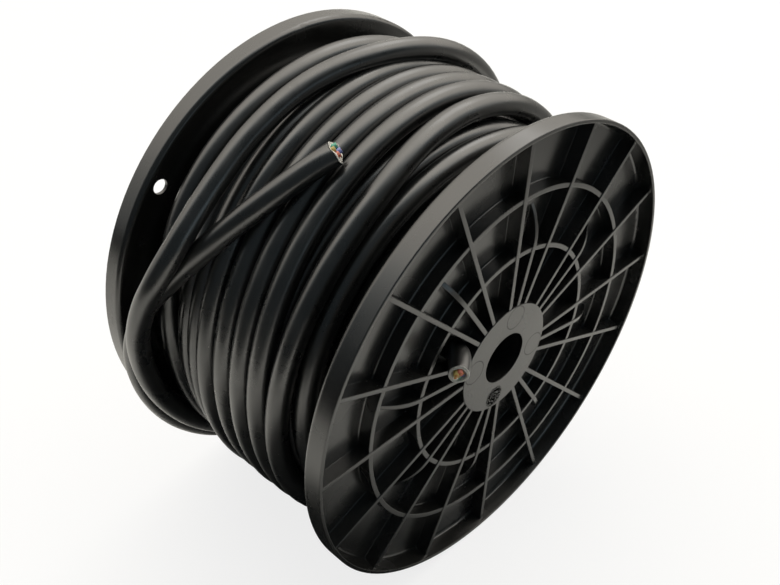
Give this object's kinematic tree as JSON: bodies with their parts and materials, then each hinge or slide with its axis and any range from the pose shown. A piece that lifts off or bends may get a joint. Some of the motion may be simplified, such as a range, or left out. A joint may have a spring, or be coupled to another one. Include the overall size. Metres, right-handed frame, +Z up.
{
  "type": "cable drum wound with cable",
  "caption": "Black plastic cable drum with ribbed flanges and a spindle bore, wound with thick black multicore cable whose cut end lies across the turns.",
  "frame": {"origin": "middle of the spindle bore, on the drum's axis and halfway between the two rims", "axes": "+Y along the drum's axis towards the rear flange, the ribbed front flange with the cable's inner end faces -Y, +Z up, and the drum lies on its two rims"},
  "size_m": [0.3383, 0.2135, 0.3245],
  "materials": {
    "drum_plastic": "satin",
    "cable_jacket": "satin"
  },
  "bodies": {
    "root": {"front_flange": "drum_plastic", "rear_flange": "drum_plastic", "barrel": "drum_plastic", "cable_winding": "cable_jacket", "cable_outer_end": "cable_jacket", "cable_inner_end": "cable_jacket"}
  },
  "joints": []
}
